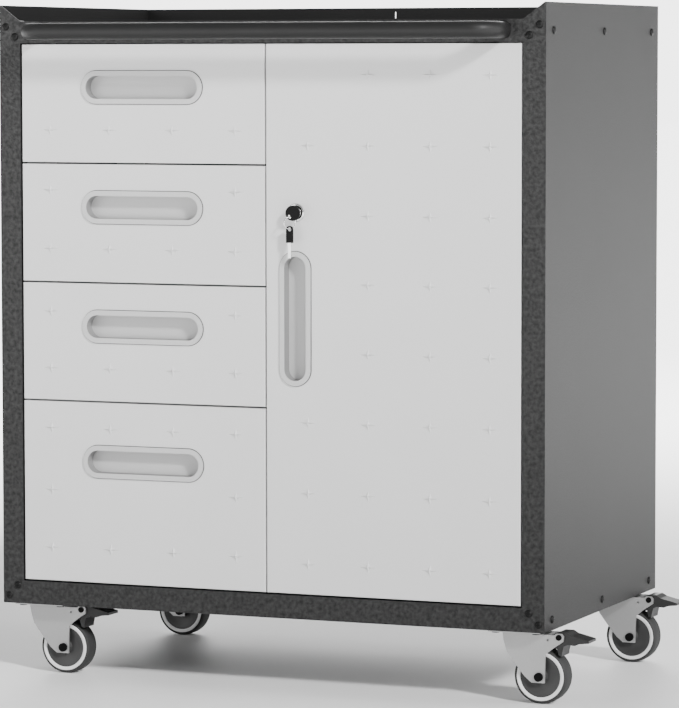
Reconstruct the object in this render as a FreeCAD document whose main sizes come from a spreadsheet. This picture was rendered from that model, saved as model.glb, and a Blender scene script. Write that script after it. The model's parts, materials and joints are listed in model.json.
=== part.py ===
"""Rolling tool cabinet: four drawers, a lockable door, a push handle and four braked casters.

Frame: millimetres, +X to the right seen from the front, +Y to the back, +Z up,
origin on the floor under the middle of the cabinet.
"""
import FreeCAD, Part
import os
import math
import Sketcher

doc = FreeCAD.newDocument("rolling_tool_cabinet")
sheet = doc.addObject("Spreadsheet::Sheet", "Sizes")
V = FreeCAD.Vector


class Size:
    """A length known both as a number and as an expression on the size sheet."""

    def __init__(self, text, value):
        self.text = text
        self.value = float(value)

    def _with(self, other, sign, value):
        return Size("(%s %s %s)" % (self.text, sign, text_of(other)), value)

    def __add__(self, other):
        return self._with(other, "+", self.value + value_of(other))

    def __sub__(self, other):
        return self._with(other, "-", self.value - value_of(other))

    def __mul__(self, other):
        return self._with(other, "*", self.value * value_of(other))

    def __truediv__(self, other):
        return self._with(other, "/", self.value / value_of(other))

    def __neg__(self):
        return Size("(0 - %s)" % self.text, -self.value)

    def __radd__(self, other):
        return as_size(other) + self

    def __rsub__(self, other):
        return as_size(other) - self

    def __rmul__(self, other):
        return as_size(other) * self


def as_size(item):
    return item if isinstance(item, Size) else Size("%.6g" % item, item)


def value_of(item):
    return item.value if isinstance(item, Size) else float(item)


def text_of(item):
    return as_size(item).text


row_count = 0


def size(name, value):
    """Put one driving size on the sheet and return it."""
    global row_count
    row_count += 1
    sheet.set("A%d" % row_count, name)
    sheet.set("B%d" % row_count, str(value))
    sheet.setAlias("B%d" % row_count, name)
    return Size("Sizes." + name, value)


# overall
body_width = size("body_width", 700)
body_depth = size("body_depth", 420)
body_height = size("body_height", 727.5)
caster_height = size("caster_height", 87.5)
gauge = size("gauge", 1.5)
# front frame
stile_width = size("stile_width", 27.8)
stile_return = size("stile_return", 12)
bottom_rail_height = size("bottom_rail_height", 28.2)
top_rail_height = size("top_rail_height", 26.5)
rail_return = size("rail_return", 16)
tray_rise = size("tray_rise", 19.5)
tray_depth = size("tray_depth", 22)
flange_height = size("flange_height", 22)
# fronts
reveal = size("reveal", 2)
top_reveal = size("top_reveal", 1.2)
front_depth = size("front_depth", 16)
edge_round = size("edge_round", 1.2)
shallow_share = size("shallow_share", 0.2169)
pull_drop_shallow = size("pull_drop_shallow", 51.5)
pull_drop_deep = size("pull_drop_deep", 71.4)
# pulls
pull_length = size("pull_length", 159)
pull_width = size("pull_width", 39.5)
pull_lip = size("pull_lip", 6)
pull_proud = size("pull_proud", 1.8)
pull_recess = size("pull_recess", 13)
pull_wall = size("pull_wall", 1.5)
hole_clearance = size("hole_clearance", 0.3)
door_pull_across = size("door_pull_across", 38.4)
door_pull_share = size("door_pull_share", 0.49045)
# drawer boxes and slides
slide_width = size("slide_width", 13.25)
slide_height = size("slide_height", 36)
slide_gap = size("slide_gap", 0.4)
slide_play = size("slide_play", 1)
slide_lift = size("slide_lift", 40)
slide_rear = size("slide_rear", 28)
slide_front_gap = size("slide_front_gap", 53.5)
box_rear = size("box_rear", 40)
box_top = size("box_top", 18)
box_foot = size("box_foot", 10)
# door
divider_flange = size("divider_flange", 15)
divider_setback = size("divider_setback", 20)
hinge_inset = size("hinge_inset", 8)
hinge_depth = size("hinge_depth", 5)
hinge_pin_radius = size("hinge_pin_radius", 2.5)
hinge_pin_reach = size("hinge_pin_reach", 14)
running_fit = size("running_fit", 0.06)
shelf_share = size("shelf_share", 0.4536)
shelf_setback = size("shelf_setback", 50)
shelf_flange = size("shelf_flange", 18)
# lock and keys
lock_across = size("lock_across", 39.8)
lock_share = size("lock_share", 0.66282)
lock_bezel_radius = size("lock_bezel_radius", 11)
lock_bezel_proud = size("lock_bezel_proud", 3)
lock_barrel_radius = size("lock_barrel_radius", 9)
lock_plug_radius = size("lock_plug_radius", 6)
lock_cam_length = size("lock_cam_length", 34)
lock_cam_width = size("lock_cam_width", 14)
cam_gap = size("cam_gap", 1.5)
key_head_radius = size("key_head_radius", 9)
key_head_depth = size("key_head_depth", 2.6)
key_eye_radius = size("key_eye_radius", 2.4)
ring_radius = size("ring_radius", 7.2)
ring_hang = size("ring_hang", 0.2)
ring_wire = size("ring_wire", 0.6)
# push handle
handle_radius = size("handle_radius", 10)
handle_inset = size("handle_inset", 52.5)
handle_reach = size("handle_reach", 46)
handle_bend = size("handle_bend", 28)
handle_drop = size("handle_drop", 32)
# screws
screw_head_radius = size("screw_head_radius", 4.6)
screw_head_height = size("screw_head_height", 2.2)
screw_shank_radius = size("screw_shank_radius", 2)
screw_length = size("screw_length", 10)
screw_inset = size("screw_inset", 27)
screw_low_rise = size("screw_low_rise", 13)
screw_high_drop = size("screw_high_drop", 32.5)
# casters
caster_inset = size("caster_inset", 42)
caster_setback = size("caster_setback", 40)
plate_length = size("plate_length", 64)
plate_width = size("plate_width", 56)
plate_thickness = size("plate_thickness", 3)
race_radius = size("race_radius", 15)
race_gap = size("race_gap", 0.3)
fork_drop = size("fork_drop", 5)
fork_width = size("fork_width", 33)
fork_gauge = size("fork_gauge", 2.5)
king_radius = size("king_radius", 5)
wheel_radius = size("wheel_radius", 32.5)
wheel_width = size("wheel_width", 24)
tyre_thickness = size("tyre_thickness", 3.6)
trail = size("trail", 27)
axle_radius = size("axle_radius", 4)
side_gap = size("side_gap", 0.3)
pedal_reach = size("pedal_reach", 87)
pedal_pivot_across = size("pedal_pivot_across", 51.5)
pedal_pivot_drop = size("pedal_pivot_drop", 7.5)
pedal_pin_radius = size("pedal_pin_radius", 2.5)
doc.recompute()
nodes = []


def bind(obj, prop, item):
    """Give a property its value and tie it to the size sheet."""
    obj.setExpression(prop, text_of(item))


def place(obj, x, y, z, axis=None, angle=0):
    spin = FreeCAD.Rotation(V(*axis), angle) if axis else FreeCAD.Rotation()
    obj.Placement = FreeCAD.Placement(V(value_of(x), value_of(y), value_of(z)), spin)
    for prop, item in (("x", x), ("y", y), ("z", z)):
        bind(obj, "Placement.Base." + prop, item)
    return obj


def node(obj, label):
    obj.Label = label
    nodes.append(obj)
    return obj


# ---- Part primitives ----
def block(x0, x1, y0, y1, z0, z1):
    box = doc.addObject("Part::Box", "Block")
    bind(box, "Length", x1 - x0)
    bind(box, "Width", y1 - y0)
    bind(box, "Height", z1 - z0)
    return place(box, x0, y0, z0)


TURNS = {"x": ((0, 1, 0), 90), "y": ((1, 0, 0), -90), "z": (None, 0)}


def rod(x, y, z, radius, length, along="z"):
    """A cylinder that starts at a point and runs up the named axis."""
    cylinder = doc.addObject("Part::Cylinder", "Rod")
    bind(cylinder, "Radius", radius)
    bind(cylinder, "Height", length)
    axis, angle = TURNS[along]
    return place(cylinder, x, y, z, axis, angle)


def join(*items):
    fuse = doc.addObject("Part::MultiFuse", "Join")
    fuse.Shapes = list(items)
    fuse.Refine = True
    return fuse


def less(base, *tools):
    cut = doc.addObject("Part::Cut", "Less")
    cut.Base = base
    cut.Tool = tools[0] if len(tools) == 1 else join(*tools)
    return cut


def group(*items):
    """Separate solids that share one file."""
    compound = doc.addObject("Part::Compound", "Group")
    compound.Links = list(items)
    return compound


# ---- PartDesign bodies ----
def body(label, x=0, y=0, z=0):
    item = doc.addObject("PartDesign::Body", "Body")
    place(item, x, y, z)
    return node(item, label)


def sketch(owner, plane, offset=0):
    item = owner.newObject("Sketcher::SketchObject", "Sketch")
    base = [f for f in owner.Origin.OriginFeatures if f.Role == plane][0]
    item.AttachmentSupport = [(base, "")]
    item.MapMode = "FlatFace"
    item.AttachmentOffset = FreeCAD.Placement(V(0, 0, value_of(offset)), FreeCAD.Rotation())
    bind(item, "AttachmentOffset.Base.z", offset)
    return item


def pin(item, index, corner, x, y):
    """Hold one sketch point at a driven place."""
    for kind, value in (("DistanceX", x), ("DistanceY", y)):
        number = item.addConstraint(Sketcher.Constraint(kind, -1, 1, index, corner, value_of(value)))
        if isinstance(value, Size):
            item.setExpression("Constraints[%d]" % number, value.text)


def outline(item, points):
    """Closed straight-sided profile."""
    first = item.GeometryCount
    count = len(points)
    for i in range(count):
        a = points[i]
        b = points[(i + 1) % count]
        start = V(value_of(a[0]), value_of(a[1]), 0)
        end = V(value_of(b[0]), value_of(b[1]), 0)
        item.addGeometry(Part.LineSegment(start, end), False)
    for i in range(count):
        after = first + (i + 1) % count
        item.addConstraint(Sketcher.Constraint("Coincident", first + i, 2, after, 1))
        pin(item, first + i, 1, points[i][0], points[i][1])


def rectangle(item, x0, x1, y0, y1):
    outline(item, [(x0, y0), (x1, y0), (x1, y1), (x0, y1)])


def ring(item, x, y, radius):
    centre = V(value_of(x), value_of(y), 0)
    index = item.addGeometry(Part.Circle(centre, V(0, 0, 1), value_of(radius)), False)
    pin(item, index, 3, x, y)
    number = item.addConstraint(Sketcher.Constraint("Radius", index, value_of(radius)))
    if isinstance(radius, Size):
        item.setExpression("Constraints[%d]" % number, radius.text)


def oblong(item, x, y, length, width, upright=False):
    """Slot profile with round ends."""
    radius = width / 2
    reach = (length - width) / 2
    r = value_of(radius)
    ends = []
    for side in (1, -1):
        cx = x if upright else x + reach * side
        cy = y + reach * side if upright else y
        turn = (0 if side > 0 else math.pi) if upright else (-math.pi / 2 if side > 0 else math.pi / 2)
        circle = Part.Circle(V(value_of(cx), value_of(cy), 0), V(0, 0, 1), r)
        index = item.addGeometry(Part.ArcOfCircle(circle, turn, turn + math.pi), False)
        pin(item, index, 3, cx, cy)
        ends.append(index)
    for a, b in ((0, 1), (1, 0)):
        start = item.getPoint(ends[a], 2)
        end = item.getPoint(ends[b], 1)
        line = item.addGeometry(Part.LineSegment(start, end), False)
        item.addConstraint(Sketcher.Constraint("Tangent", ends[a], 2, line, 1))
        item.addConstraint(Sketcher.Constraint("Tangent", line, 2, ends[b], 1))
    number = item.addConstraint(Sketcher.Constraint("Radius", ends[0], r))
    item.setExpression("Constraints[%d]" % number, as_size(radius).text)


def feature(owner, kind, profile, length=None, reverse=False, midplane=False, through=False):
    item = owner.newObject("PartDesign::" + kind, kind)
    item.Profile = profile
    item.Reversed = reverse
    if midplane:
        item.Midplane = True
    if through:
        item.Type = "ThroughAll"
    else:
        bind(item, "Length", length)
    profile.Visibility = False
    owner.Tip = item
    return item


def round_edges(owner, base, radius, test):
    doc.recompute()
    names = []
    for i, edge in enumerate(base.Shape.Edges):
        if all(test(vertex.Point) for vertex in edge.Vertexes):
            names.append("Edge%d" % (i + 1))
    item = owner.newObject("PartDesign::Fillet", "Fillet")
    item.Base = (base, names)
    bind(item, "Radius", radius)
    owner.Tip = item
    return item


# ---- places worked out from the sizes ----
half = body_width / 2
handle_span = body_width - handle_inset * 2
handle_height = body_height - handle_drop
caster_across = half - caster_inset
caster_along = body_depth / 2 - caster_setback
lock_height = body_height * lock_share
door_pull_height = body_height * door_pull_share
shelf_height = body_height * shelf_share
front = -body_depth / 2
back = body_depth / 2
base = caster_height
rail_top = base + body_height - tray_rise
opening_top = rail_top - top_rail_height
opening_bottom = base + bottom_rail_height
opening_side = half - stile_width
frame_back = front + stile_return
inside = half - gauge
tray_floor = rail_top - tray_depth
bay_centre = -opening_side / 2
bay_half = opening_side / 2 - gauge / 2
front_back = front + front_depth
flange_back = front + divider_setback + gauge
door_left = reveal / 2
door_right = opening_side - reveal
door_bottom = opening_bottom + reveal
front_top = opening_top - top_reveal
door_height = front_top - door_bottom
shallow_height = (opening_top - opening_bottom) * shallow_share
hinge_x = opening_side - hinge_inset
hinge_y = front + hinge_depth
screw_low = base + screw_low_rise
screw_high = base + body_height - screw_high_drop
screw_depths = (screw_inset, body_depth / 2, body_depth - screw_inset)


# ---- cabinet shell ----
def side_panel(label, sign):
    """Folded side sheet whose front flange is the stile."""
    item = body(label, half * sign, front, base)
    flip = -sign
    points = [(0, 0), (stile_width, 0), (stile_width, stile_return), (stile_width - gauge, stile_return),
              (stile_width - gauge, gauge), (gauge, gauge), (gauge, body_depth), (0, body_depth)]
    profile = sketch(item, "XY_Plane")
    outline(profile, [(as_size(u) * flip, v) for u, v in points])
    feature(item, "Pad", profile, body_height)
    slope = sketch(item, "XZ_Plane")
    outline(slope, [(gauge * flip, body_height), (stile_width * flip, body_height),
                    (stile_width * flip, body_height - tray_rise)])
    feature(item, "Pocket", slope, stile_return)
    holes = sketch(item, "YZ_Plane")
    for depth in screw_depths:
        for level in (screw_low, screw_high):
            ring(holes, depth, level - base, screw_shank_radius)
    feature(item, "Pocket", holes, midplane=True, through=True)
    holes = sketch(item, "XZ_Plane")
    for across, level in frame_screw_places:
        ring(holes, (half - across) * flip, level, screw_shank_radius)
    feature(item, "Pocket", holes, stile_return)


frame_screw_places = [(half - 8, rail_top - base - 6.5), (half - 20.5, rail_top - base - 18.5),
                      (half - 19.5, as_size(22.2)), (half - 7.5, as_size(9.3))]
side_panel("left_side_panel", -1)
side_panel("right_side_panel", 1)

for label, sign in (("back_panel_left", -1), ("back_panel_right", 1)):
    item = body(label, 0, back - gauge, base)
    profile = sketch(item, "XY_Plane")
    rectangle(profile, 0, inside * sign, 0, gauge)
    feature(item, "Pad", profile, body_height)
    slit = sketch(item, "XZ_Plane")
    rectangle(slit, 0, 0.8 * sign, body_height - 13, body_height - 5)
    feature(item, "Pocket", slit, gauge)


def rail(label, bottom, height, low_return, high_return):
    """Folded front rail between the stiles."""
    item = body(label, -opening_side, front, bottom)
    profile = sketch(item, "YZ_Plane")
    outline(profile, [(0, 0), (low_return, 0), (low_return, gauge), (gauge, gauge),
                      (gauge, height - gauge), (high_return, height - gauge), (high_return, height), (0, height)])
    feature(item, "Pad", profile, opening_side * 2)
    return item


item = rail("bottom_rail", base, bottom_rail_height, stile_return, rail_return)
pivot = sketch(item, "XY_Plane", bottom_rail_height - gauge)
ring(pivot, opening_side + hinge_x, hinge_depth, hinge_pin_radius)
feature(item, "Pocket", pivot, gauge, reverse=True)

item = rail("top_rail", opening_top, top_rail_height, rail_return, stile_return)
pivot = sketch(item, "XY_Plane")
ring(pivot, opening_side + hinge_x, hinge_depth, hinge_pin_radius)
feature(item, "Pocket", pivot, gauge, reverse=True)
holes = sketch(item, "XZ_Plane")
for sign in (-1, 1):
    ring(holes, opening_side + handle_span / 2 * sign, base + handle_height - opening_top, screw_shank_radius)
feature(item, "Pocket", holes, gauge)


def pan_holes(level):
    """Clearance for the side screws through a pan's upturned edges."""
    tools = []
    for sign in (-1, 1):
        for depth in screw_depths:
            start = -half if sign < 0 else half - 6
            tools.append(rod(start, front + depth, level, screw_shank_radius, 6, "x"))
    return tools


plate_bolt_places = [(caster_across * i + plate_length * 0.39 * u, caster_along * j + plate_width * 0.36 * v)
                     for i in (-1, 1) for j in (-1, 1) for u in (-1, 1) for v in (-1, 1)]
bolt_holes = [rod(x, y, base, screw_shank_radius, gauge) for x, y in plate_bolt_places]
pan = less(block(-inside, inside, frame_back, back - gauge, base, base + flange_height),
           block(gauge - inside, inside - gauge, frame_back, back - gauge * 2, base + gauge, base + flange_height),
           *bolt_holes, *pan_holes(screw_low))
node(pan, "bottom_panel")
tray = less(block(-inside, inside, frame_back, back - gauge, tray_floor, rail_top),
            block(gauge - inside, inside - gauge, frame_back + gauge, back - gauge * 2, tray_floor + gauge, rail_top),
            *pan_holes(screw_high))
node(tray, "top_tray")

item = body("divider_panel", 0, 0, base + gauge)
profile = sketch(item, "XY_Plane")
edge = front + divider_setback
outline(profile, [(-gauge / 2, edge), (divider_flange, edge), (divider_flange, edge + gauge),
                  (gauge / 2, edge + gauge), (gauge / 2, back - gauge * 2), (-gauge / 2, back - gauge * 2)])
feature(item, "Pad", profile, tray_floor - base - gauge)

post_face = bay_centre - bay_half
posts = []
for start in (edge + 45, back - 100):
    posts.append(less(block(-inside + gauge, post_face, start, start + 30, base + gauge, tray_floor),
                      block(-inside + gauge * 2, post_face - gauge, start + gauge, start + 28.5, base + gauge,
                            tray_floor)))
node(group(*posts), "slide_posts")

shelf_top = base + shelf_height
shelf = less(block(gauge / 2, inside, front + shelf_setback, back - gauge, shelf_top - shelf_flange, shelf_top),
             block(gauge * 1.5, inside - gauge, front + shelf_setback + gauge, back - gauge * 2,
                   shelf_top - shelf_flange, shelf_top - gauge))
node(shelf, "shelf")


def screw(x, y, z, along, outward, shank=screw_length):
    """Pan head outside the face, shank inside it."""
    step = screw_head_height * outward
    if along == "x":
        head = rod(x + step if outward < 0 else x, y, z, screw_head_radius, screw_head_height, "x")
        stem = rod(x if outward < 0 else x - shank, y, z, screw_shank_radius, shank, "x")
    else:
        head = rod(x, y + step if outward < 0 else y, z, screw_head_radius, screw_head_height, "y")
        stem = rod(x, y if outward < 0 else y - shank, z, screw_shank_radius, shank, "y")
    return join(head, stem)


node(group(*[screw(half * sign, front + depth, level, "x", sign, gauge * 3)
             for sign in (-1, 1) for depth in screw_depths for level in (screw_low, screw_high)]), "side_screws")

# ---- push handle ----
item = body("push_handle", 0, front, base + handle_height)
path = sketch(item, "XY_Plane")
bend = value_of(handle_bend)
reach = value_of(handle_reach)
span = value_of(handle_span) / 2
corners = [(-span, 0), (-span, bend - reach), (bend - span, -reach), (span - bend, -reach), (span, bend - reach),
           (span, 0)]
for a, b in ((0, 1), (2, 3), (4, 5)):
    path.addGeometry(Part.LineSegment(V(*corners[a], 0), V(*corners[b], 0)), False)
for x, turn in ((bend - span, math.pi), (span - bend, 1.5 * math.pi)):
    circle = Part.Circle(V(x, bend - reach, 0), V(0, 0, 1), bend)
    path.addGeometry(Part.ArcOfCircle(circle, turn, turn + math.pi / 2), False)
for a, a_end, b, b_end in ((0, 2, 3, 1), (3, 2, 1, 1), (1, 2, 4, 1), (4, 2, 2, 1)):
    path.addConstraint(Sketcher.Constraint("Tangent", a, a_end, b, b_end))
pin(path, 0, 1, -handle_span / 2, 0)
pin(path, 2, 2, handle_span / 2, 0)
path.addConstraint(Sketcher.Constraint("Vertical", 0))
path.addConstraint(Sketcher.Constraint("Vertical", 2))
path.addConstraint(Sketcher.Constraint("Equal", 3, 4))
number = path.addConstraint(Sketcher.Constraint("Radius", 3, bend))
path.setExpression("Constraints[%d]" % number, handle_bend.text)
number = path.addConstraint(Sketcher.Constraint("DistanceY", -1, 1, 1, 1, -reach))
path.setExpression("Constraints[%d]" % number, (-handle_reach).text)
profile = sketch(item, "XZ_Plane")
ring(profile, -handle_span / 2, 0, handle_radius)
doc.recompute()
pipe = item.newObject("PartDesign::AdditivePipe", "Pipe")
pipe.Profile = profile
pipe.Spine = (path, ["Edge%d" % (i + 1) for i in range(5)])
item.Tip = pipe
holes = sketch(item, "XZ_Plane")
for sign in (-1, 1):
    ring(holes, handle_span / 2 * sign, 0, screw_shank_radius)
feature(item, "Pocket", holes, screw_length, reverse=True)
handle_screws = [screw(handle_span / 2 * sign, front + gauge, base + handle_height, "y", 1) for sign in (-1, 1)]
stile_screws = [screw(across * sign, front, base + level, "y", -1)
                for sign in (-1, 1) for across, level in frame_screw_places]
node(group(*handle_screws, *stile_screws), "frame_screws")


# ---- drawers ----
def oblong_cup(label, x, y, z, upright=False):
    """Recessed finger pull: a lip on the face and a cup behind it."""
    item = body(label, x, y, z)
    inner_length = pull_length - pull_lip * 2
    inner_width = pull_width - pull_lip * 2
    profile = sketch(item, "XZ_Plane")
    oblong(profile, 0, 0, pull_length, pull_width, upright)
    feature(item, "Pad", profile, pull_proud)
    profile = sketch(item, "XZ_Plane")
    oblong(profile, 0, 0, inner_length + pull_wall * 2, inner_width + pull_wall * 2, upright)
    feature(item, "Pad", profile, pull_recess + pull_wall, reverse=True)
    profile = sketch(item, "XZ_Plane", pull_proud)
    oblong(profile, 0, 0, inner_length, inner_width, upright)
    feature(item, "Pocket", profile, pull_proud + pull_recess)
    return item


def front_pan(label, x, z, width, height):
    """Folded front: a face with edges turned back all round."""
    item = body(label, x, front, z)
    profile = sketch(item, "XZ_Plane")
    rectangle(profile, 0, width, 0, height)
    pad = feature(item, "Pad", profile, front_depth, reverse=True)
    round_edges(item, pad, edge_round, lambda point: abs(point.y) < 0.01)
    hollow = sketch(item, "XZ_Plane", -gauge)
    rectangle(hollow, gauge, width - gauge, gauge, height - gauge)
    feature(item, "Pocket", hollow, front_depth - gauge)
    return item


def pull_hole(item, x, z, upright=False):
    hole = sketch(item, "XZ_Plane")
    extra = (pull_wall + hole_clearance - pull_lip) * 2
    oblong(hole, x, z, pull_length + extra, pull_width + extra, upright)
    feature(item, "Pocket", hole, gauge)


slide_start = flange_back
slide_end = back - slide_rear
inner_slide_length = back - slide_front_gap - slide_start


def drawer(number, bottom, height, drop):
    """Front, pull, box and the two moving slide members of one drawer."""
    left = reveal - opening_side
    width = opening_side - reveal * 1.5
    item = front_pan("drawer_%d_front" % number, left, bottom, width, height)
    pull_hole(item, width / 2, height - drop)
    oblong_cup("drawer_%d_pull" % number, left + width / 2, front, bottom + height - drop)
    wall = bay_half - slide_width
    low = bottom + box_foot
    high = bottom + height - box_top
    rear = back - box_rear
    box = less(block(bay_centre - wall, bay_centre + wall, front_back, rear, low, high),
               block(bay_centre - wall + gauge, bay_centre + wall - gauge, front_back + gauge, rear - gauge,
                     low + gauge, high))
    plate = block(left, left + width, front_back, front_back + gauge, bottom, bottom + height)
    box = join(box, plate)
    node(box, "drawer_%d_box" % number)
    middle = low + slide_lift
    reach = slide_height / 2 - gauge - slide_gap
    movers = []
    fixed = []
    for sign in (-1, 1):
        near = bay_centre + wall * sign
        far = bay_centre + (bay_half - gauge - slide_play) * sign
        face = bay_centre + bay_half * sign
        lip = bay_centre + (wall + slide_play * 2) * sign
        web = bay_centre + (bay_half - gauge) * sign
        a, b = (far, near) if sign < 0 else (near, far)
        movers.append(block(a, b, slide_start, slide_start + inner_slide_length, middle - reach, middle + reach))
        a, b = (face, lip) if sign < 0 else (lip, face)
        c, d = (web, lip) if sign < 0 else (lip, web)
        fixed.append(less(block(a, b, slide_start, slide_end, middle - slide_height / 2, middle + slide_height / 2),
                          block(c, d, slide_start, slide_end, middle - slide_height / 2 + gauge,
                                middle + slide_height / 2 - gauge)))
    node(group(*movers), "drawer_%d_slides" % number)
    return fixed


outer_members = []
bottom = front_top - shallow_height
for number in (1, 2, 3):
    outer_members += drawer(number, bottom, shallow_height, pull_drop_shallow)
    last = bottom
    bottom = bottom - reveal - shallow_height
outer_members += drawer(4, door_bottom, last - reveal - door_bottom, pull_drop_deep)
node(group(*outer_members), "slide_outer_members")

# ---- door ----
door_width = door_right - door_left
item = front_pan("door_panel", door_left, door_bottom, door_width, door_height)
pull_hole(item, door_pull_across - door_left, base + door_pull_height - door_bottom, True)
holes = sketch(item, "XZ_Plane")
ring(holes, lock_across - door_left, base + lock_height - door_bottom, lock_barrel_radius)
feature(item, "Pocket", holes, gauge)
pivot = sketch(item, "XY_Plane")
ring(pivot, hinge_x - door_left, hinge_depth, hinge_pin_radius + running_fit)
feature(item, "Pocket", pivot, midplane=True, through=True)
oblong_cup("door_pull", door_pull_across, front, base + door_pull_height, True)

lock_z = base + lock_height
pan_right = door_right - gauge
boss_left = hinge_x - 8
boss_depth = hinge_pin_reach + 4
liner = less(join(block(door_left, door_right, front_back, front_back + gauge, door_bottom, front_top),
                  block(boss_left, pan_right, front + gauge, front_back, door_bottom + gauge,
                        door_bottom + boss_depth),
                  block(boss_left, pan_right, front + gauge, front_back, front_top - boss_depth,
                        front_top - gauge)),
             rod(lock_across, front_back, lock_z, lock_barrel_radius, gauge, "y"),
             rod(hinge_x, hinge_y, door_bottom, hinge_pin_radius + running_fit, hinge_pin_reach + 1),
             rod(hinge_x, hinge_y, front_top - hinge_pin_reach - 1, hinge_pin_radius + running_fit,
                 hinge_pin_reach + 1))
node(liner, "door_inner_panel")
pin_head = hinge_depth - gauge
low_face = opening_bottom - gauge
high_face = opening_top + gauge
pins = group(join(rod(hinge_x, hinge_y, low_face, hinge_pin_radius, gauge + reveal + hinge_pin_reach),
                  rod(hinge_x, hinge_y, low_face - 2, pin_head, 2)),
             join(rod(hinge_x, hinge_y, front_top - hinge_pin_reach, hinge_pin_radius,
                      hinge_pin_reach + top_reveal + gauge),
                  rod(hinge_x, hinge_y, high_face, pin_head, 2)))
node(pins, "hinge_pins")

# ---- lock and keys ----
cam_front = flange_back + cam_gap
bezel_front = front - lock_bezel_proud
plug_front = bezel_front - 0.5
barrel = less(join(rod(lock_across, bezel_front, lock_z, lock_bezel_radius, lock_bezel_proud, "y"),
                   rod(lock_across, front, lock_z, lock_barrel_radius, front_depth + gauge + 2, "y")),
              rod(lock_across, bezel_front, lock_z, lock_plug_radius + running_fit, front_depth + 12, "y"))
node(barrel, "lock_barrel")
key_front = plug_front - 5.5
slot_back = front + 6
plug = less(rod(lock_across, plug_front, lock_z, lock_plug_radius, cam_front - plug_front, "y"),
            block(lock_across - 1, lock_across + 1, plug_front, slot_back, lock_z - 3, lock_z + 3))
node(plug, "lock_plug")
cam_half = lock_cam_width / 2
cam = join(block(lock_across - cam_half, lock_across + cam_half, cam_front, cam_front + 2,
                 lock_z - lock_cam_length, lock_z),
           rod(lock_across, cam_front, lock_z, cam_half, 2, "y"))
node(cam, "lock_cam")
node(block(lock_across - 1, lock_across + 1, key_front, slot_back, lock_z - 3, lock_z + 3), "key_blade")
head_x = lock_across - 0.2
head_z = lock_z - 0.3
head_front = key_front - key_head_depth
eye_z = head_z - 4.2
eye_x = head_x - 4
eye_y = key_front - key_head_depth / 2
key_head = less(rod(head_x, head_front, head_z, key_head_radius, key_head_depth, "y"),
                rod(eye_x, head_front, eye_z, key_eye_radius, key_head_depth, "y"))
node(key_head, "key_head")
ring_z = eye_z - ring_hang - ring_radius
wire = doc.addObject("Part::Torus", "Wire")
bind(wire, "Radius1", ring_radius)
bind(wire, "Radius2", ring_wire)
place(wire, eye_x, eye_y, ring_z, (1, 1, 0), -90)
node(wire, "key_ring")
spare_z = ring_z - ring_radius - ring_hang
bow_top = spare_z + 4
bow_low = bow_top - 20
bow_half = 4.3
bow = join(block(eye_x - bow_half, eye_x + bow_half, eye_y - 1.2, eye_y + 1.2, bow_low, bow_top - bow_half),
           rod(eye_x, eye_y - 1.2, bow_top - bow_half, bow_half, 2.4, "y"))
spare = group(less(bow, rod(eye_x, eye_y - 1.2, spare_z, key_eye_radius, 2.4, "y")),
              block(eye_x - 1.8, eye_x + 1.8, eye_y - 0.9, eye_y + 0.9, bow_low - 18, bow_low))
node(spare, "spare_key")

# ---- casters ----
plates = []
for x_sign in (-1, 1):
    for y_sign in (-1, 1):
        x = caster_across * x_sign
        y = caster_along * y_sign
        under = base - plate_thickness
        race = base - fork_drop + race_gap
        web_low = base - fork_drop - fork_gauge
        tools = [rod(bx, by, under, screw_shank_radius, plate_thickness) for bx, by in plate_bolt_places]
        plate = join(block(x - plate_length / 2, x + plate_length / 2, y - plate_width / 2, y + plate_width / 2,
                           under, base),
                     rod(x, y, race, race_radius, under - race),
                     rod(x, y, web_low - race_gap - 1, king_radius, base - web_low),
                     rod(x, y, web_low - race_gap - 2.5, king_radius + 3, 2.5))
        plates.append(less(plate, *tools))
node(group(*plates), "caster_plates")
node(group(*[join(rod(x, y, base - plate_thickness - 1.6, screw_head_radius, 1.6),
                  rod(x, y, base - plate_thickness, screw_shank_radius, plate_thickness + gauge + 4),
                  rod(x, y, base + gauge, screw_head_radius - 1, 3))
             for x, y in plate_bolt_places]), "caster_bolts")


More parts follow.
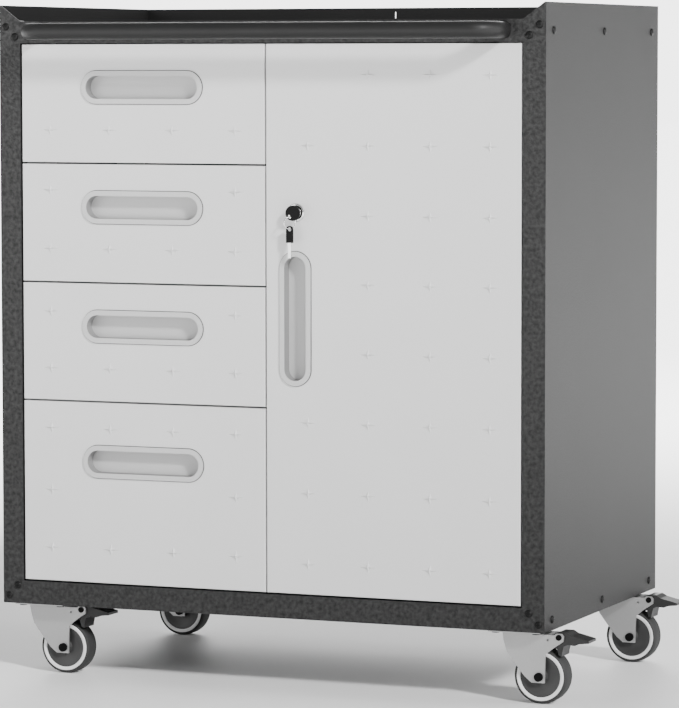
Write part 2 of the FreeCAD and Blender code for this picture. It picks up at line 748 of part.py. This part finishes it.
def caster(tag, x, y):
    """Swivelling fork with its axle, wheel, tyre and brake pedal."""
    item = doc.addObject("PartDesign::Body", "Body")
    place(item, x, y, base)
    axle_drop = base - wheel_radius
    profile = sketch(item, "XZ_Plane")
    outline(profile, [(-18, -fork_drop), (46, -fork_drop), (48.5, -3), (55, -3), (57.5, -6), (57, -12), (46, -19.5),
                      (35, -28), (34, -axle_drop - 7), (18, -axle_drop - 7), (9.5, -axle_drop), (2, -46), (-5, -37),
                      (-12.6, -27), (-16.7, -13.5)])
    feature(item, "Pad", profile, fork_width, midplane=True)
    web_low = -fork_drop - fork_gauge
    hollow = sketch(item, "XZ_Plane")
    outline(hollow, [(-30, -90), (70, -90), (70, 0), (36, 0), (36, web_low), (-30, web_low)])
    feature(item, "Pocket", hollow, fork_width - fork_gauge * 2, midplane=True)
    holes = sketch(item, "XZ_Plane")
    ring(holes, trail, -axle_drop, axle_radius)
    ring(holes, pedal_pivot_across, -pedal_pivot_drop, pedal_pin_radius)
    ring(holes, 38, -11, 1.3)
    feature(item, "Pocket", holes, midplane=True, through=True)
    holes = sketch(item, "XY_Plane")
    ring(holes, 0, 0, king_radius + running_fit)
    feature(item, "Pocket", holes, midplane=True, through=True)
    out = fork_width / 2
    axle_x = x + trail
    pin_x = x + pedal_pivot_across
    pin_z = base - pedal_pivot_drop
    axle = join(rod(axle_x, y - out - 3, wheel_radius, axle_radius, fork_width + 6, "y"),
                rod(axle_x, y - out - 3, wheel_radius, axle_radius + 1.2, 3, "y"),
                rod(axle_x, y + out, wheel_radius, axle_radius + 1.2, 3, "y"))
    rivet = join(rod(pin_x, y - out - 1, pin_z, pedal_pin_radius, fork_width + 2, "y"),
                 rod(pin_x, y - out - 1.2, pin_z, pedal_pin_radius + 1, 1.2, "y"),
                 rod(pin_x, y + out, pin_z, pedal_pin_radius + 1, 1.2, "y"))
    node(group(item, axle, rivet), "caster_%s_fork" % tag)
    rim = wheel_radius - tyre_thickness
    side = wheel_width / 2
    hub = out - fork_gauge - side_gap
    wheel = less(join(less(rod(axle_x, y - side, wheel_radius, rim, wheel_width, "y"),
                           rod(axle_x, y - side, wheel_radius, rim - 5, 3, "y"),
                           rod(axle_x, y + side - 3, wheel_radius, rim - 5, 3, "y")),
                      rod(axle_x, y - hub, wheel_radius, axle_radius + 4, hub * 2, "y")),
                 rod(axle_x, y - hub, wheel_radius, axle_radius + running_fit, hub * 2, "y"))
    node(wheel, "caster_%s_wheel" % tag)
    tyre = less(rod(axle_x, y - side, wheel_radius, wheel_radius, wheel_width, "y"),
                rod(axle_x, y - side, wheel_radius, rim, wheel_width, "y"))
    node(tyre, "caster_%s_tyre" % tag)
    pedal = body("caster_%s_pedal" % tag, x, y, base)
    profile = sketch(pedal, "XZ_Plane")
    outline(profile, [(44.5, -4), (50, -1.6), (60, -1.6), (66, -5), (pedal_reach, -10), (pedal_reach, -13),
                      (76, -14.2), (70, -16.5), (61, -16), (56.5, -18), (54.5, -26), (54, -30), (50.5, -28.5),
                      (48.5, -22), (45.5, -14)])
    feature(pedal, "Pad", profile, (hub - 0.3) * 2, midplane=True)
    holes = sketch(pedal, "XZ_Plane")
    ring(holes, pedal_pivot_across, -pedal_pivot_drop, pedal_pin_radius + running_fit)
    feature(pedal, "Pocket", holes, midplane=True, through=True)


caster("front_left", -caster_across, -caster_along)
caster("front_right", caster_across, -caster_along)
caster("rear_left", -caster_across, caster_along)
caster("rear_right", caster_across, caster_along)


# ---- check and write ----
doc.recompute()
for item in doc.Objects:
    if "Invalid" in item.State or "Error" in item.State:
        raise RuntimeError("broken: %s %s" % (item.Label, item.State))
os.makedirs("parts", exist_ok=True)
for item in nodes:
    if item.Shape.isNull() or not item.Shape.isValid():
        raise RuntimeError("bad shape: " + item.Label)
    item.Shape.exportStep("parts/%s.step" % item.Label)
    print("%-22s %3d %12.1f" % (item.Label, len(item.Shape.Solids), item.Shape.Volume))
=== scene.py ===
import json
import math
import bmesh
import bpy
from mathutils import Matrix, Vector


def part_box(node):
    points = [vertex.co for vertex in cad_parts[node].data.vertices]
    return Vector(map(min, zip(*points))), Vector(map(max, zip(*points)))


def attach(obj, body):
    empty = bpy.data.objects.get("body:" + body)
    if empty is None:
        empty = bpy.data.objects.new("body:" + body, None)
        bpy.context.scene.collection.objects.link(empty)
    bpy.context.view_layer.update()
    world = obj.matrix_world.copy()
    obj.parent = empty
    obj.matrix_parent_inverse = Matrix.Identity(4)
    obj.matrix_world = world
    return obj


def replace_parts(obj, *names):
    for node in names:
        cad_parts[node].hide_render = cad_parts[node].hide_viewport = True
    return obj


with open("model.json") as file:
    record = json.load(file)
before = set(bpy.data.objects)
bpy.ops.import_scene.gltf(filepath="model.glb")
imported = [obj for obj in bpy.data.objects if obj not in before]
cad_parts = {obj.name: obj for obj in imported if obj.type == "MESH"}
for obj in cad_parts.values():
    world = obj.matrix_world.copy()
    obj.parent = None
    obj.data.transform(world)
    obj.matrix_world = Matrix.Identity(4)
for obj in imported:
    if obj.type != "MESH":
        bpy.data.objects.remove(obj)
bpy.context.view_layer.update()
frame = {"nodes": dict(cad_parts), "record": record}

NODES = frame["nodes"]
CORNERS = ("front_left", "front_right", "rear_left", "rear_right")
MM = 0.001
AXLE_HEAD = 2.9 * MM
BLADE_LENGTH = 18.1 * MM
SCREW_HEAD = 4.6 * MM
SCREW_RISE = 2.2 * MM
PULLS = ("door_pull", "drawer_1_pull", "drawer_2_pull", "drawer_3_pull", "drawer_4_pull")


# ---------------------------------------------------------------- materials
def new_material(name, color, roughness, metallic=0.0):
    mat = bpy.data.materials.new(name)
    mat.use_nodes = True
    shader = mat.node_tree.nodes["Principled BSDF"]
    shader.inputs["Base Color"].default_value = (*color, 1.0)
    shader.inputs["Roughness"].default_value = roughness
    shader.inputs["Metallic"].default_value = metallic
    return mat, shader


def noise(tree, scale, detail=3.0, stretch=(1, 1, 1)):
    """Noise in the object's own coordinates, with scale in cells per metre."""
    place = tree.nodes.new("ShaderNodeTexCoord")
    mapping = tree.nodes.new("ShaderNodeMapping")
    mapping.inputs["Scale"].default_value = stretch
    tree.links.new(place.outputs["Object"], mapping.inputs["Vector"])
    texture = tree.nodes.new("ShaderNodeTexNoise")
    texture.inputs["Scale"].default_value = scale
    texture.inputs["Detail"].default_value = detail
    tree.links.new(mapping.outputs["Vector"], texture.inputs["Vector"])
    return texture.outputs["Fac"]


def spread(tree, source, low, high):
    ramp = tree.nodes.new("ShaderNodeMapRange")
    ramp.inputs["From Min"].default_value = 0.3
    ramp.inputs["From Max"].default_value = 0.7
    ramp.inputs["To Min"].default_value = low
    ramp.inputs["To Max"].default_value = high
    tree.links.new(source, ramp.inputs["Value"])
    return ramp.outputs["Result"]


def shade(tree, source, dark, light):
    mix = tree.nodes.new("ShaderNodeMix")
    mix.data_type = "RGBA"
    mix.inputs[6].default_value = (*dark, 1.0)
    mix.inputs[7].default_value = (*light, 1.0)
    tree.links.new(source, mix.inputs[0])
    return mix.outputs[2]


def bump(tree, shader, source, strength, distance):
    node = tree.nodes.new("ShaderNodeBump")
    node.inputs["Strength"].default_value = strength
    node.inputs["Distance"].default_value = distance
    tree.links.new(source, node.inputs["Height"])
    tree.links.new(node.outputs["Normal"], shader.inputs["Normal"])


def grained(name, level, vary, roughness, rough_vary, scale, strength, distance, metallic=0.0,
            stretch=(1, 1, 1), gloss=0.5):
    """Coat, plastic, rubber or metal: fine grain in the surface and a slow drift in tone and sheen."""
    mat, shader = new_material(name, (level, level, level), roughness, metallic)
    shader.inputs["Specular IOR Level"].default_value = gloss
    tree = mat.node_tree
    drift = noise(tree, 9.0, 2.0)
    grain = noise(tree, scale, 4.0, stretch)
    tone = shade(tree, spread(tree, drift, 0.0, 1.0), (level * (1 - vary),) * 3, (level * (1 + vary),) * 3)
    tree.links.new(tone, shader.inputs["Base Color"])
    sheen = spread(tree, grain, roughness - rough_vary, roughness + rough_vary)
    tree.links.new(sheen, shader.inputs["Roughness"])
    bump(tree, shader, grain, strength, distance)
    return mat


def hammered(name, level, roughness):
    """Hammered enamel: pits a few millimetres wide with lighter flecks between them."""
    mat, shader = new_material(name, (level, level, level), roughness)
    shader.inputs["Specular IOR Level"].default_value = 0.28
    tree = mat.node_tree
    blobs = noise(tree, 210, 2.0)
    fleck = spread(tree, blobs, 0.0, 1.0)
    tone = shade(tree, fleck, (level * 0.45,) * 3, (level * 1.8,) * 3)
    tree.links.new(tone, shader.inputs["Base Color"])
    tree.links.new(spread(tree, blobs, roughness + 0.10, roughness - 0.08), shader.inputs["Roughness"])
    bump(tree, shader, blobs, 0.8, 0.0016)
    return mat


MATS = {
    "charcoal_coat": grained("charcoal_coat", 0.011, 0.10, 0.48, 0.08, 700, 0.55, 0.0004, gloss=0.26),
    "pale_coat": grained("pale_coat", 0.66, 0.012, 0.42, 0.05, 700, 0.10, 0.0001),
    # painted shade: pull_plastic is set darker than the pale fronts to stand for the shade on the recess
    # floor, which darkens the lip as well
    "pull_plastic": grained("pull_plastic", 0.50, 0.02, 0.4, 0.05, 1500, 0.10, 0.0001),
    "inner_coat": grained("inner_coat", 0.22, 0.04, 0.45, 0.06, 900, 0.2, 0.0002),
    "zinc": grained("zinc", 0.46, 0.06, 0.36, 0.08, 250, 0.15, 0.0002, 0.85, (1, 14, 1)),
    "fork_zinc": grained("fork_zinc", 0.42, 0.10, 0.40, 0.08, 300, 0.12, 0.0002, 0.7),
    "wheel_plastic": grained("wheel_plastic", 0.030, 0.06, 0.42, 0.06, 1300, 0.15, 0.0001),
    "wheel_ring": grained("wheel_ring", 0.80, 0.02, 0.35, 0.05, 1300, 0.1, 0.0001),
    "tyre_rubber": grained("tyre_rubber", 0.030, 0.08, 0.7, 0.08, 1100, 0.4, 0.0002, gloss=0.3),
    "pedal_coat": grained("pedal_coat", 0.020, 0.1, 0.42, 0.08, 900, 0.25, 0.0002, gloss=0.35),
    "screw_steel": grained("screw_steel", 0.005, 0.1, 0.42, 0.06, 900, 0.1, 0.0001, gloss=0.2),
    "screw_slot": grained("screw_slot", 0.002, 0.1, 0.6, 0.05, 900, 0.1, 0.0001, gloss=0.1),
    "lock_chrome": grained("lock_chrome", 0.72, 0.03, 0.18, 0.05, 600, 0.05, 0.00005, 1.0),
    "key_plastic": grained("key_plastic", 0.004, 0.1, 0.5, 0.06, 1500, 0.15, 0.0001, gloss=0.12),
    # painted shade: a darker finish for the inner walls of the pull cups, standing for the shadow inside the
    # recess
    "painted_cup_shade": grained("painted_cup_shade", 0.25, 0.04, 0.5, 0.05, 1500, 0.10, 0.0001, gloss=0.2),
    # painted shadow: near-black finish for the thin ring round each pull lip
    "painted_lip_shadow": grained("painted_lip_shadow", 0.02, 0.1, 0.6, 0.06, 1500, 0.15, 0.0001),
}
MATS["charcoal_front"] = hammered("charcoal_front", 0.016, 0.47)


def soften(obj, width=0.45 * MM, segments=2):
    """Rounds the sharp edges that every pressed or moulded part has."""
    bevel = obj.modifiers.new("soften", "BEVEL")
    bevel.width = width
    bevel.segments = segments
    bevel.limit_method = "ANGLE"
    bevel.angle_limit = math.radians(35)
    bevel.harden_normals = False


slots = {row["node"]: row["material_slot"] for row in frame["record"]["subparts"]}
for name, obj in NODES.items():
    obj.data.materials.clear()
    obj.data.materials.append(MATS[slots[name]])


def paint(name, key, inside):
    """Gives the faces of one node whose centre passes the test a second material: a real finish, or painted
    shade on the pull cup walls.
    """
    obj = NODES[name]
    obj.data.materials.append(MATS[key])
    for face in obj.data.polygons:
        if inside(obj.matrix_world @ face.center, face.normal):
            face.material_index = len(obj.data.materials) - 1


front_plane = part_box("right_side_panel")[0][1]
for name in ("left_side_panel", "right_side_panel", "top_rail", "bottom_rail", "divider_panel"):
    paint(name, "charcoal_front", lambda at, normal: at.y < front_plane + 0.1 * MM)
for corner in CORNERS:
    low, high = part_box("caster_%s_fork" % corner)
    paint("caster_%s_fork" % corner, "screw_slot",
          lambda at, normal: at.y < low[1] + AXLE_HEAD or at.y > high[1] - AXLE_HEAD)
# painted shade: the inner walls of every pull cup take the darker material, in place of the shadow that
# falls inside the recess
for name in PULLS:
    paint(name, "painted_cup_shade", lambda at, normal: at.y > front_plane - 1 * MM and abs(normal.y) < 0.5)
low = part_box("spare_key")[0]
paint("spare_key", "lock_chrome", lambda at, normal: at.z < low[2] + BLADE_LENGTH)


# ---------------------------------------------------------------- building
def from_bmesh(name, bm, body, mats, smooth=True):
    """Object from a finished bmesh, riding one body, with its first finish as its slot."""
    mesh = bpy.data.meshes.new(name)
    bmesh.ops.recalc_face_normals(bm, faces=bm.faces)
    for face in bm.faces:
        face.smooth = smooth
    bm.to_mesh(mesh)
    bm.free()
    obj = bpy.data.objects.new(name, mesh)
    bpy.context.scene.collection.objects.link(obj)
    for key in mats:
        mesh.materials.append(MATS[key])
    if smooth:
        mesh.set_sharp_from_angle(angle=math.radians(40))
    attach(obj, body)
    return obj


def lathe(bm, profile, centre, axis, steps=64):
    """Closed ring of (radius, along) points turned about an axis."""
    turn = Vector((0, 0, 1)).rotation_difference(Vector(axis)).to_matrix()
    rows = []
    for i in range(steps):
        a = 2 * math.pi * i / steps
        spokes = [Vector((r * math.cos(a), r * math.sin(a), h)) for r, h in profile]
        rows.append([bm.verts.new(Vector(centre) + turn @ spoke) for spoke in spokes])
    count = len(profile)
    for i in range(steps):
        for j in range(count):
            k = (j + 1) % count
            corner = (rows[i][j], rows[(i + 1) % steps][j], rows[(i + 1) % steps][k], rows[i][k])
            bm.faces.new(corner)


def middle(name):
    """Centre, low corner and high corner of a node's box."""
    low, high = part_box(name)
    return (Vector(low) + Vector(high)) / 2, Vector(low), Vector(high)


def body_name(node):
    for body, members in frame["record"]["behaviour"]["bodies"].items():
        if node in members:
            return body
    return None


# pressed stars on the fronts: a low four-pointed bump, long across and short up
def star(bm, x, y, z, wide=10.8 * MM, tall=7.4 * MM, proud=2.4 * MM):
    waist = 0.24
    peak = bm.verts.new((x, y - proud, z))
    rim = []
    for i in range(8):
        a = math.pi / 4 * i
        reach = 1.0 if i % 2 == 0 else waist
        rim.append(bm.verts.new((x + wide * reach * math.cos(a), y, z + tall * reach * math.sin(a))))
    for i in range(8):
        bm.faces.new((peak, rim[(i + 1) % 8], rim[i]))
    bm.faces.new(rim)


def star_field(node, places):
    _, low, high = middle(node)
    bm = bmesh.new()
    for x, level in places:
        star(bm, x * MM, low.y, BASE + level * MM)
    from_bmesh(node + "_stars", bm, body_name(node), ["pale_coat"], smooth=False)


# places of the stars, in millimetres: across from the middle, and up from the bottom of the body
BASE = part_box("right_side_panel")[0][2]
COLUMNS = (-282.5, -204, -121, -39)
OUTER = (COLUMNS[0], COLUMNS[3])
star_field("drawer_1_front", [(x, 577.8) for x in COLUMNS])
star_field("drawer_2_front", [(x, 505.5) for x in OUTER] + [(x, 434.8) for x in COLUMNS])
star_field("drawer_3_front", [(x, 359.2) for x in OUTER] + [(x, 290.3) for x in COLUMNS])
star_field("drawer_4_front", [(x, 142) for x in OUTER] + [(x, z) for x in COLUMNS for z in (217.5, 71.5)])
DOOR_ROWS = (561.2, 479.2, 398.6, 317, 234.4, 150.6, 66.4)
places = [(x, z) for x in (130.5, 208.2, 282.4) for z in (643.8,) + DOOR_ROWS]
star_field("door_panel", places + [(54.3, z) for z in (561.2, 234.4, 150.6, 66.4)])


# thin dark ring of painted shadow round the lip of each pull, standing for the shadow gap at its edge
def lip_shadow_ring(name, node):
    centre, low, high = middle(node)
    front_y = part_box(name)[0][1]
    wide = (high.x - low.x) / 2
    tall = (high.z - low.z) / 2
    bend = min(wide, tall)
    bm = bmesh.new()
    rows = []
    inward = -1.0 * MM
    outward = 0.8 * MM
    raised = front_y - 0.3 * MM
    for grow, y in ((inward, front_y), (outward, front_y), (outward, raised), (inward, raised)):
        row = []
        for i in range(64):
            a = 2 * math.pi * (i + 0.5) / 64
            x = max(wide - bend, 0) * (1 if math.cos(a) > 0 else -1) + (bend + grow) * math.cos(a)
            z = max(tall - bend, 0) * (1 if math.sin(a) > 0 else -1) + (bend + grow) * math.sin(a)
            row.append(bm.verts.new((centre.x + x, y, centre.z + z)))
        rows.append(row)
    for j in range(4):
        for i in range(64):
            k = (i + 1) % 64
            bm.faces.new((rows[j][i], rows[j][k], rows[(j + 1) % 4][k], rows[(j + 1) % 4][i]))
    from_bmesh(node + "_lip_shadow", bm, body_name(node), ["painted_lip_shadow"], smooth=False)


for number in (1, 2, 3, 4):
    lip_shadow_ring("drawer_%d_front" % number, "drawer_%d_pull" % number)
lip_shadow_ring("door_panel", "door_pull")

# push handle: a smooth bent tube
centre, low, high = middle("push_handle")
radius = (high.z - low.z) / 2
left = low.x + radius
front = low.y + radius
bend = 28 * MM
path = [Vector((left, high.y - 0.0002, centre.z))]
path += [Vector((left + bend - bend * math.cos(a), front + bend - bend * math.sin(a), centre.z))
         for a in [math.pi / 2 * i / 12 for i in range(13)]]
path += [Vector((-p.x, p.y, p.z)) for p in reversed(path)]
bm = bmesh.new()
rings = []
for i, point in enumerate(path):
    ahead = path[min(i + 1, len(path) - 1)] - path[max(i - 1, 0)]
    ahead.normalize()
    if i in (0, len(path) - 1):
        ahead = Vector((0, -1 if i == 0 else 1, 0))
    side = Vector((0, 0, 1)).cross(ahead).normalized()
    rings.append([bm.verts.new(point + radius * (side * math.cos(a) + Vector((0, 0, 1)) * math.sin(a)))
                  for a in [2 * math.pi * j / 40 for j in range(40)]])
for a, b in zip(rings, rings[1:]):
    for j in range(40):
        k = (j + 1) % 40
        bm.faces.new((a[j], a[k], b[k], b[j]))
bm.faces.new(rings[0])
bm.faces.new(list(reversed(rings[-1])))
handle = from_bmesh("push_handle_tube", bm, "cabinet", ["charcoal_coat"])
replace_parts(handle, "push_handle")


# one domed cross-head screw
def dome_screw(bm, x, y, z, out):
    head = SCREW_HEAD
    rise = SCREW_RISE
    profile = [(0.2 * MM, 0), (head, 0), (head, 0.5 * MM), (head * 0.9, rise * 0.55),
               (head * 0.6, rise * 0.88), (head * 0.3, rise * 0.98), (0.2 * MM, rise)]
    lathe(bm, profile, (x, y, z), out, 32)
    along = Vector(out)
    side = Vector((0, 0, 1))
    other = along.cross(side)
    for a, b in ((side, other), (other, side)):
        corners = []
        for level in (rise * 0.5, rise * 0.995):
            for u, v in ((-1, -1), (1, -1), (1, 1), (-1, 1)):
                place = Vector((x, y, z)) + along * level + a * (u * 2.3 * MM) + b * (v * 0.4 * MM)
                corners.append(bm.verts.new(place))
        for ids in ((0, 1, 2, 3), (4, 5, 6, 7), (0, 1, 5, 4), (1, 2, 6, 5), (2, 3, 7, 6), (3, 0, 4, 7)):
            bm.faces.new([corners[i] for i in ids]).material_index = 1


# distances in millimetres: across from the middle, and up from the bottom of the body
STILE_SCREWS = ((342, 701.5), (329.5, 689.5), (330.5, 22.2), (342.5, 9.3))
panel_low, panel_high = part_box("right_side_panel")
bm = bmesh.new()
for sign in (-1, 1):
    for depth in (27, 210, 393):
        for level in (13, 695):
            place = (panel_high[0] * sign, panel_low[1] + depth * MM, panel_low[2] + level * MM)
            dome_screw(bm, *place, (sign, 0, 0))
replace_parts(from_bmesh("side_screw_heads", bm, "cabinet", ["screw_steel", "screw_slot"]), "side_screws")
bm = bmesh.new()
for sign in (-1, 1):
    for across, level in STILE_SCREWS:
        dome_screw(bm, across * MM * sign, panel_low[1], panel_low[2] + level * MM, (0, -1, 0))
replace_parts(from_bmesh("stile_screw_heads", bm, "cabinet", ["screw_steel", "screw_slot"]), "frame_screws")

# caster wheels: hub disc, pale rim ring and dark tyre
for corner in CORNERS:
    body = "wheel_" + corner
    centre, low, high = middle("caster_%s_tyre" % corner)
    big = (high.z - low.z) / 2
    half = (high.y - low.y) / 2
    rim = big - 3.6 * MM
    bm = bmesh.new()
    lathe(bm, [(rim, -half + 0.6 * MM), (rim + 0.8 * MM, -half), (big - 1.6 * MM, -half + 0.4 * MM),
               (big - 0.4 * MM, -half + 2.2 * MM), (big, -half + 5 * MM), (big, half - 5 * MM),
               (big - 0.4 * MM, half - 2.2 * MM), (big - 1.6 * MM, half - 0.4 * MM), (rim + 0.8 * MM, half),
               (rim, half - 0.6 * MM)], centre, (0, 1, 0), 96)
    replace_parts(from_bmesh("tyre_" + corner, bm, body, ["tyre_rubber"]), "caster_%s_tyre" % corner)
    _, hub_low, hub_high = middle("caster_%s_wheel" % corner)
    hub = (hub_high.y - hub_low.y) / 2
    bore = 4.06 * MM
    boss = 8 * MM
    inner = 0.76 * big
    dish = half - 2.5 * MM
    bm = bmesh.new()
    lathe(bm, [(bore, -hub), (boss - 0.8 * MM, -hub), (boss, -hub + 0.8 * MM), (boss + 1 * MM, -dish),
               (inner * 0.72, -dish - 0.4 * MM), (inner * 0.8, -half + 1.2 * MM), (inner, -half + 0.8 * MM),
               (inner, half - 0.8 * MM), (inner * 0.8, half - 1.2 * MM), (inner * 0.72, dish + 0.4 * MM),
               (boss + 1 * MM, dish), (boss, hub - 0.8 * MM), (boss - 0.8 * MM, hub), (bore, hub)],
          centre, (0, 1, 0), 96)
    core = from_bmesh("wheel_core_" + corner, bm, body, ["wheel_plastic"])
    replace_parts(core, "caster_%s_wheel" % corner)
    bm = bmesh.new()
    lathe(bm, [(inner, -half + 0.5 * MM), (inner + 0.6 * MM, -half), (rim - 0.5 * MM, -half),
               (rim, -half + 0.5 * MM), (rim, half - 0.5 * MM), (rim - 0.5 * MM, half),
               (inner + 0.6 * MM, half), (inner, half - 0.5 * MM)],
          centre, (0, 1, 0), 96)
    from_bmesh("wheel_rim_" + corner, bm, body, ["wheel_ring"])
    for part in ("fork", "pedal"):
        soften(NODES["caster_%s_%s" % (corner, part)], 0.6 * MM)

# lock bezel: rounded rim, then the barrel behind it
centre, low, high = middle("lock_barrel")
rb = (high.z - low.z) / 2
bm = bmesh.new()
lathe(bm, [(6.06 * MM, 0.6 * MM), (7 * MM, 0), (rb - 1.4 * MM, 0), (rb - 0.4 * MM, 0.5 * MM), (rb, 1.5 * MM),
           (rb, 3 * MM), (9 * MM, 3 * MM), (9 * MM, high.y - low.y), (6.06 * MM, high.y - low.y)],
      (centre.x, low.y, centre.z), (0, 1, 0), 64)
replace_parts(from_bmesh("lock_bezel", bm, "door", ["lock_chrome"]), "lock_barrel")

for name in ("left_side_panel", "right_side_panel", "top_rail", "bottom_rail", "top_tray", "back_panel_left",
             "back_panel_right", "divider_panel", "shelf", "bottom_panel"):
    soften(NODES[name], 0.6 * MM)
for name in PULLS:
    soften(NODES[name], 0.4 * MM, 3)
for name in ("lock_plug", "lock_cam", "key_blade", "key_head", "spare_key"):
    soften(NODES[name], 0.3 * MM)

# ---------------------------------------------------------------- stage
bm = bmesh.new()
for x, y in ((-40, -40), (40, -40), (40, 40), (-40, 40)):
    bm.verts.new((x, y, 0))
bm.faces.new(bm.verts)
floor_mesh = bpy.data.meshes.new("floor")
bm.to_mesh(floor_mesh)
bm.free()
floor = bpy.data.objects.new("floor", floor_mesh)
bpy.context.scene.collection.objects.link(floor)
floor_mat = grained("floor_paint", 0.93, 0.01, 0.6, 0.03, 60, 0.02, 0.0002)
tree = floor_mat.node_tree
place = tree.nodes.new("ShaderNodeTexCoord")
away = tree.nodes.new("ShaderNodeVectorMath")
away.operation = "LENGTH"
tree.links.new(place.outputs["Object"], away.inputs[0])
glow = tree.nodes.new("ShaderNodeMapRange")
glow.interpolation_type = "SMOOTHSTEP"
glow.inputs["From Min"].default_value = 0.9
glow.inputs["From Max"].default_value = 3.5
glow.inputs["To Min"].default_value = 0.0
glow.inputs["To Max"].default_value = 3.2
tree.links.new(away.outputs["Value"], glow.inputs["Value"])
floor_shader = tree.nodes["Principled BSDF"]
floor_shader.inputs["Emission Color"].default_value = (1, 1, 1, 1)
tree.links.new(glow.outputs["Result"], floor_shader.inputs["Emission Strength"])
floor_mesh.materials.append(floor_mat)

world = bpy.data.worlds.new("studio")
bpy.context.scene.world = world
world.use_nodes = True
tree = world.node_tree
sky = tree.nodes["Background"]
sky.inputs["Color"].default_value = (1, 1, 1, 1)
place = tree.nodes.new("ShaderNodeTexCoord")
aim = tree.nodes.new("ShaderNodeVectorMath")
aim.operation = "DOT_PRODUCT"
aim.inputs[1].default_value = (-0.38, 0.925, 0.0)
tree.links.new(place.outputs["Generated"], aim.inputs[0])
cove = tree.nodes.new("ShaderNodeMapRange")
cove.interpolation_type = "SMOOTHSTEP"
cove.inputs["From Min"].default_value = 0.93
cove.inputs["From Max"].default_value = 0.98
cove.inputs["To Min"].default_value = 0.4
cove.inputs["To Max"].default_value = 4.2
tree.links.new(aim.outputs["Value"], cove.inputs["Value"])
tree.links.new(cove.outputs["Result"], sky.inputs["Strength"])


def area_light(name, place, target, power, wide):
    data = bpy.data.lights.new(name, "AREA")
    data.energy = power
    data.shape = "DISK"
    data.size = wide
    lamp = bpy.data.objects.new(name, data)
    bpy.context.scene.collection.objects.link(lamp)
    lamp.location = place
    lamp.rotation_euler = (Vector(target) - Vector(place)).to_track_quat("-Z", "Y").to_euler()


TARGET = (0, 0, 0.45)
sun = bpy.data.lights.new("key", "SUN")
sun.energy = 4.4
sun.angle = math.radians(7)
key = bpy.data.objects.new("key", sun)
bpy.context.scene.collection.objects.link(key)
key.rotation_euler = Vector((-1.4, 1.0, -1.0)).to_track_quat("-Z", "Y").to_euler()
area_light("fill", (-2.6, -3.6, 1.6), TARGET, 40, 2.5)
area_light("side", (4.4, 1.1, 1.9), TARGET, 75, 2.8)
area_light("rear", (-1.5, 3.8, 2.4), TARGET, 90, 2.5)

# ---------------------------------------------------------------- camera
AZIMUTH, PITCH, ROLL = 22.352, -4.314, -0.057
LENS = 196.76
EYE = (1.8174, -4.4001, 0.7462)
az, pitch, roll = (math.radians(v) for v in (AZIMUTH, PITCH, ROLL))
forward = Vector((-math.sin(az) * math.cos(pitch), math.cos(az) * math.cos(pitch), math.sin(pitch)))
right = Vector((math.cos(az), math.sin(az), 0))
up = right.cross(forward)
right, up = right * math.cos(roll) + up * math.sin(roll), up * math.cos(roll) - right * math.sin(roll)
data = bpy.data.cameras.new("camera")
data.lens = LENS
data.sensor_width = 36
camera = bpy.data.objects.new("camera", data)
bpy.context.scene.collection.objects.link(camera)
turn = Matrix((right, up, -forward)).transposed().to_4x4()
camera.matrix_world = Matrix.Translation(EYE) @ turn
bpy.context.scene.camera = camera
